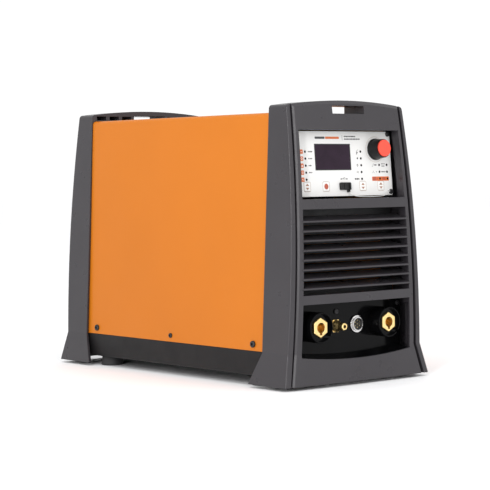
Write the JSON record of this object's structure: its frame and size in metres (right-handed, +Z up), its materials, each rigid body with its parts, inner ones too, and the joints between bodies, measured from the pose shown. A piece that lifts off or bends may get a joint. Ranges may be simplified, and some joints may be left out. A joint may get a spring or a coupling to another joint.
{
  "type": "tig welding machine",
  "caption": "Portable inverter TIG welding power source with moulded end frames, sheet cover, control panel with knob and keys, louvres, weld sockets, gas fittings and rear fan.",
  "frame": {"origin": "on the floor, at the centre of the object's box", "axes": "+Z up, the control panel and weld sockets face -Y, +X is to the right for someone facing the front"},
  "size_m": [0.253, 0.4998, 0.3615],
  "materials": {
    "hoop": "fine-textured moulded plastic",
    "fascia": "fine-textured moulded plastic",
    "cover": "orange powder coat on sheet steel",
    "pan": "black powder coat on sheet steel",
    "foot_rubber": "moulded rubber",
    "zinc": "zinc plated steel",
    "black_screw": "black oxide steel",
    "bulkhead": "black powder coat on sheet steel",
    "overlay": "printed polyester overlay",
    "black_plastic": "moulded plastic",
    "screen": "smoked display window",
    "board": "circuit board laminate",
    "led": "smoked light-emitting diode lens",
    "knob": "black moulded plastic",
    "knob_cap": "red moulded plastic",
    "key": "printed polyester over a moulded key",
    "chrome": "bright plated metal",
    "soft_cap": "soft moulded cap",
    "tether": "translucent nylon",
    "gloss_black": "polished black moulding",
    "brass": "turned brass",
    "copper": "copper",
    "pin_metal": "plated contact pins",
    "rocker": "red moulded plastic",
    "fan_plastic": "moulded plastic",
    "aluminium": "extruded aluminium",
    "component": "moulded component bodies",
    "ferrite": "ferrite with copper winding",
    "hose": "rubber gas hose"
  },
  "bodies": {
    "root": {"base_pan": "pan", "bulk_capacitors": "component", "bulkhead_nuts": "zinc", "cable_gland": "black_plastic", "control_backplate": "black_plastic", "control_board": "board", "control_connector_insert": "black_plastic", "control_connector_pins": "pin_metal", "control_connector_shell": "chrome", "control_overlay": "overlay", "cover": "cover", "cover_screws": "black_screw", "earth_stud": "brass", "encoder_body": "zinc", "fan_frame": "black_plastic", "fan_guard": "zinc", "foot_screws": "zinc", "front_bulkhead": "bulkhead", "front_fascia": "fascia", "front_hoop": "hoop", "gas_hoses": "hose", "gas_inlet": "brass", "gas_outlet": "brass", "gas_valve": "brass", "heat_sinks": "aluminium", "hf_coil": "component", "indicator_leds": "led", "output_choke": "ferrite", "panel_screws": "black_screw", "power_board": "board", "power_transistors": "component", "rear_bulkhead": "bulkhead", "rear_fascia": "fascia", "rear_hoop": "hoop", "rear_plates": "gloss_black", "rear_screws": "black_screw", "rubber_feet": "foot_rubber", "screen_window": "screen", "shelf": "bulkhead", "socket_lugs": "copper", "socket_plate": "gloss_black", "socket_screws": "black_screw", "switch_housing": "black_plastic", "tether_eyelet": "chrome", "transformer": "ferrite", "usb_port": "chrome", "usb_tether": "tether", "weld_socket_bodies": "gloss_black", "weld_socket_contacts": "brass"},
    "encoder_plunger": {"encoder_plunger": "zinc"},
    "knob": {"encoder_shaft": "zinc", "knob_body": "knob", "knob_cap": "knob_cap"},
    "key_left_arrows": {"key_left_arrows": "key"},
    "key_round": {"key_round": "key"},
    "key_right_arrows_a": {"key_right_arrows_a": "key"},
    "key_right_arrows_b": {"key_right_arrows_b": "key"},
    "usb_cap": {"usb_cap": "soft_cap"},
    "fan_rotor": {"fan_rotor": "fan_plastic"},
    "switch_rocker": {"switch_rocker": "rocker"}
  },
  "joints": [
    {"name": "knob_push", "type": "slide", "parent": "root", "child": "encoder_plunger", "axis": [0, 0.9969, -0.0785], "range_m": [0, 0.0004], "stiffness_N_per_m": 6000},
    {"name": "knob_turn", "type": "hinge", "parent": "encoder_plunger", "child": "knob", "pos_m": [0.0578, -0.21756, 0.29924], "axis": [0, -0.9969, 0.0785], "continuous": true},
    {"name": "key_left_arrows_press", "type": "slide", "parent": "root", "child": "key_left_arrows", "axis": [0, 0.9969, -0.0785], "range_m": [0, 0.0004], "stiffness_N_per_m": 3000},
    {"name": "key_round_press", "type": "slide", "parent": "root", "child": "key_round", "axis": [0, 0.9969, -0.0785], "range_m": [0, 0.0004], "stiffness_N_per_m": 3000},
    {"name": "key_right_arrows_a_press", "type": "slide", "parent": "root", "child": "key_right_arrows_a", "axis": [0, 0.9969, -0.0785], "range_m": [0, 0.0004], "stiffness_N_per_m": 3000},
    {"name": "key_right_arrows_b_press", "type": "slide", "parent": "root", "child": "key_right_arrows_b", "axis": [0, 0.9969, -0.0785], "range_m": [0, 0.0004], "stiffness_N_per_m": 3000},
    {"name": "usb_cap_pull", "type": "slide", "parent": "root", "child": "usb_cap", "axis": [0, -0.9969, 0.0785], "range_m": [0, 0.01]},
    {"name": "fan_spin", "type": "hinge", "parent": "root", "child": "fan_rotor", "pos_m": [0, 0.186, 0.17], "axis": [0, 1, 0], "continuous": true},
    {"name": "switch_rock", "type": "hinge", "parent": "root", "child": "switch_rocker", "pos_m": [-0.044, 0.214, 0.282], "axis": [1, 0, 0], "range_deg": [0, 24]}
  ]
}
